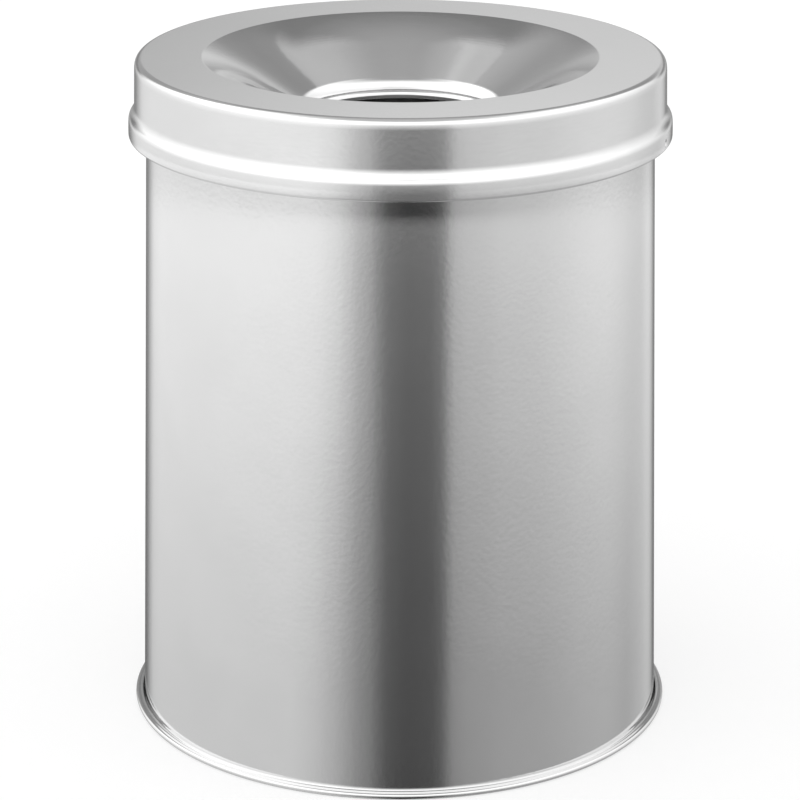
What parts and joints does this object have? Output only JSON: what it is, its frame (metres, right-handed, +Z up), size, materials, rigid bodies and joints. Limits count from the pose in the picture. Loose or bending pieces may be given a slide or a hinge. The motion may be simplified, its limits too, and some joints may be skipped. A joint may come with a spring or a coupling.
{
  "type": "self-extinguishing waste bin",
  "caption": "Round fire-safe waste bin in satin stainless sheet, with a push-on lid whose funnel feeds waste through a round throat and smothers a fire inside.",
  "frame": {"origin": "middle of the foot ring, on the floor", "axes": "+Z up along the bin's axis; the side in the picture faces -Y"},
  "size_m": [0.278, 0.278, 0.323],
  "materials": {
    "body_steel": "satin stainless sheet",
    "base_steel": "satin stainless sheet",
    "lid_steel": "satin stainless sheet",
    "throat_steel": "bright stainless",
    "wire_steel": "drawn steel wire"
  },
  "bodies": {
    "bin": {"body_wall": "body_steel", "rim_wire": "wire_steel", "base_pan": "base_steel"},
    "lid": {"lid_cap": "lid_steel", "throat_ring": "throat_steel"}
  },
  "joints": [
    {"name": "lid_lift", "type": "slide", "parent": "bin", "child": "lid", "axis": [0, 0, 1], "range_m": [0, 0.06]}
  ]
}
